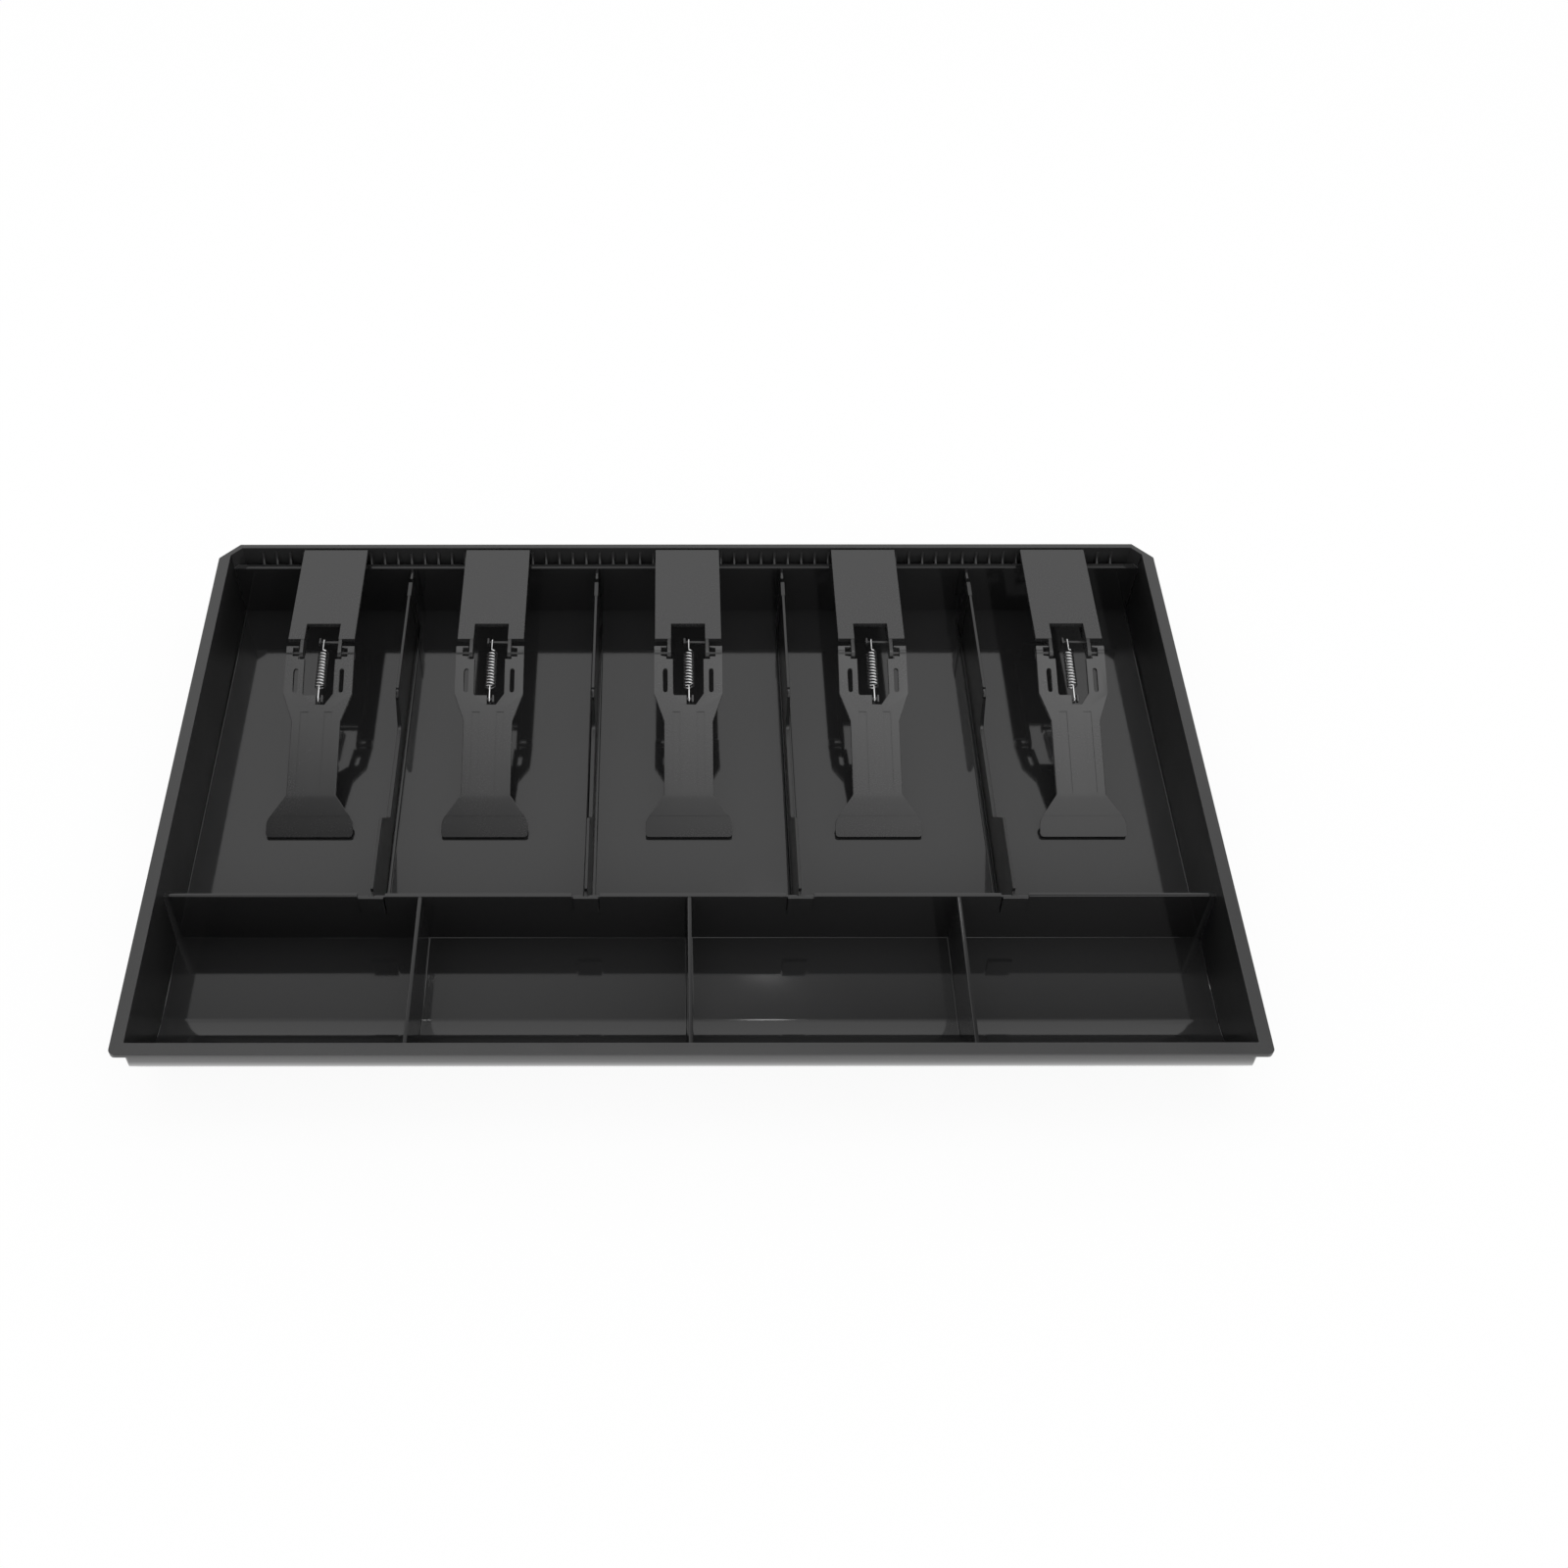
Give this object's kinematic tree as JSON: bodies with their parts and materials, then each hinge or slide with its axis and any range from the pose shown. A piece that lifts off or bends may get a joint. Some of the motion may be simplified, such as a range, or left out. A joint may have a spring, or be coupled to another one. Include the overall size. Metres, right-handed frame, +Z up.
{
  "type": "cash drawer insert",
  "caption": "Moulded cash tray with coin cups, bill bays, lift-out dividers and sprung hold-down clips on a comb rail.",
  "frame": {"origin": "middle of the underside, on the surface that the tray stands on", "axes": "+X to the right seen from the coin cups, +Y from the coin cups to the clips, +Z up"},
  "size_m": [0.4, 0.245, 0.0365],
  "materials": {
    "tray_plastic": "glossy black moulded plastic",
    "divider_plastic": "glossy black moulded plastic, thin",
    "clip_plastic": "fine satin black moulded plastic",
    "spring_wire": "bright drawn steel wire"
  },
  "bodies": {
    "tray": {"tray": "tray_plastic", "clip_1_bracket": "clip_plastic", "clip_2_bracket": "clip_plastic", "clip_3_bracket": "clip_plastic", "clip_4_bracket": "clip_plastic", "clip_5_bracket": "clip_plastic"},
    "bill_divider_1": {"bill_divider_1": "divider_plastic"},
    "bill_divider_2": {"bill_divider_2": "divider_plastic"},
    "bill_divider_3": {"bill_divider_3": "divider_plastic"},
    "bill_divider_4": {"bill_divider_4": "divider_plastic"},
    "clip_1_arm": {"clip_1_arm": "clip_plastic"},
    "clip_1_spring": {"clip_1_spring": "spring_wire"},
    "clip_2_arm": {"clip_2_arm": "clip_plastic"},
    "clip_2_spring": {"clip_2_spring": "spring_wire"},
    "clip_3_arm": {"clip_3_arm": "clip_plastic"},
    "clip_3_spring": {"clip_3_spring": "spring_wire"},
    "clip_4_arm": {"clip_4_arm": "clip_plastic"},
    "clip_4_spring": {"clip_4_spring": "spring_wire"},
    "clip_5_arm": {"clip_5_arm": "clip_plastic"},
    "clip_5_spring": {"clip_5_spring": "spring_wire"}
  },
  "joints": [
    {"name": "bill_divider_1_lift", "type": "slide", "parent": "tray", "child": "bill_divider_1", "axis": [0, 0, 1], "range_m": [0, 0.036]},
    {"name": "bill_divider_2_lift", "type": "slide", "parent": "tray", "child": "bill_divider_2", "axis": [0, 0, 1], "range_m": [0, 0.036]},
    {"name": "bill_divider_3_lift", "type": "slide", "parent": "tray", "child": "bill_divider_3", "axis": [0, 0, 1], "range_m": [0, 0.036]},
    {"name": "bill_divider_4_lift", "type": "slide", "parent": "tray", "child": "bill_divider_4", "axis": [0, 0, 1], "range_m": [0, 0.036]},
    {"name": "clip_1_lift", "type": "hinge", "parent": "tray", "child": "clip_1_arm", "pos_m": [-0.15048, 0.0635, 0.0323], "axis": [-1, 0, 0], "range_deg": [0, 100], "stiffness_Nm_per_rad": 0.01, "springref_deg": -85.94, "deforming": ["clip_1_spring"]},
    {"name": "clip_1_spring_swing", "type": "hinge", "parent": "tray", "child": "clip_1_spring", "pos_m": [-0.15018, 0.0712, 0.0303], "axis": [-1, 0, 0], "range_deg": [0, 73]},
    {"name": "clip_2_lift", "type": "hinge", "parent": "tray", "child": "clip_2_arm", "pos_m": [-0.08082, 0.0635, 0.0323], "axis": [-1, 0, 0], "range_deg": [0, 100], "stiffness_Nm_per_rad": 0.01, "springref_deg": -85.94, "deforming": ["clip_2_spring"]},
    {"name": "clip_2_spring_swing", "type": "hinge", "parent": "tray", "child": "clip_2_spring", "pos_m": [-0.08052, 0.0712, 0.0303], "axis": [-1, 0, 0], "range_deg": [0, 73]},
    {"name": "clip_3_lift", "type": "hinge", "parent": "tray", "child": "clip_3_arm", "pos_m": [0.00045, 0.0635, 0.0323], "axis": [-1, 0, 0], "range_deg": [0, 100], "stiffness_Nm_per_rad": 0.01, "springref_deg": -85.94, "deforming": ["clip_3_spring"]},
    {"name": "clip_3_spring_swing", "type": "hinge", "parent": "tray", "child": "clip_3_spring", "pos_m": [0.00075, 0.0712, 0.0303], "axis": [-1, 0, 0], "range_deg": [0, 73]},
    {"name": "clip_4_lift", "type": "hinge", "parent": "tray", "child": "clip_4_arm", "pos_m": [0.07591, 0.0635, 0.0323], "axis": [-1, 0, 0], "range_deg": [0, 100], "stiffness_Nm_per_rad": 0.01, "springref_deg": -85.94, "deforming": ["clip_4_spring"]},
    {"name": "clip_4_spring_swing", "type": "hinge", "parent": "tray", "child": "clip_4_spring", "pos_m": [0.07622, 0.0712, 0.0303], "axis": [-1, 0, 0], "range_deg": [0, 73]},
    {"name": "clip_5_lift", "type": "hinge", "parent": "tray", "child": "clip_5_arm", "pos_m": [0.15718, 0.0635, 0.0323], "axis": [-1, 0, 0], "range_deg": [0, 100], "stiffness_Nm_per_rad": 0.01, "springref_deg": -85.94, "deforming": ["clip_5_spring"]},
    {"name": "clip_5_spring_swing", "type": "hinge", "parent": "tray", "child": "clip_5_spring", "pos_m": [0.15749, 0.0712, 0.0303], "axis": [-1, 0, 0], "range_deg": [0, 73]}
  ],
  "couplings": [
    {"joint": "clip_1_spring_swing", "follows": "clip_1_lift", "ratio": 0.7269},
    {"joint": "clip_2_spring_swing", "follows": "clip_2_lift", "ratio": 0.7269},
    {"joint": "clip_3_spring_swing", "follows": "clip_3_lift", "ratio": 0.7269},
    {"joint": "clip_4_spring_swing", "follows": "clip_4_lift", "ratio": 0.7269},
    {"joint": "clip_5_spring_swing", "follows": "clip_5_lift", "ratio": 0.7269}
  ]
}
